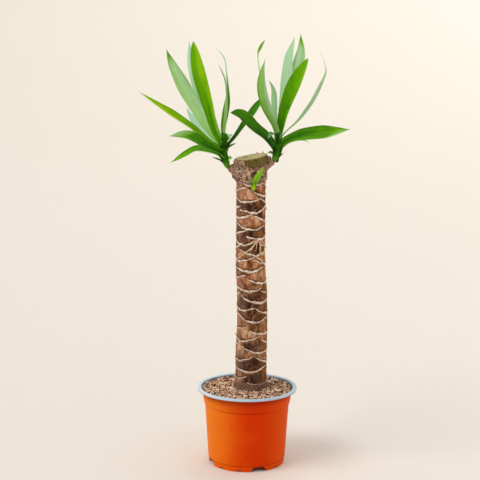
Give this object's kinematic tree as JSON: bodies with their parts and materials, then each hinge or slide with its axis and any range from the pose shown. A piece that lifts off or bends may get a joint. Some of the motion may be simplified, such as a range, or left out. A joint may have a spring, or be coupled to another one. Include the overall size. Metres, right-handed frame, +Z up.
{
  "type": "potted yucca",
  "caption": "Potted yucca house plant: a sawn, leaf-scarred cane sealed with wax on top, two leafy shoots and a young sprout, standing in soil in a plastic nursery pot.",
  "frame": {"origin": "centre of the pot's foot, on the surface the pot stands on, under the middle of the whole plant's box", "axes": "+Z up along the cane, -Y towards the plant's front, where the young sprout grows, +X towards the right-hand shoot"},
  "size_m": [0.3527, 0.1924, 0.7273],
  "materials": {
    "pot_plastic": "satin orange outside, thin blue-grey layer inside and over the lip",
    "soil": "loose, dry peat and coir with pale chips",
    "bark": "rough brown bark with cream leaf scars",
    "wax": "dull olive sealing wax, rougher and paler on top",
    "leaf": "smooth green leaf, pale blue-green underneath"
  },
  "bodies": {
    "root": {"pot": "pot_plastic", "soil": "soil", "cane": "bark", "wax_seal": "wax", "left_shoot": "leaf", "right_shoot": "leaf", "sprout": "leaf"}
  },
  "joints": []
}
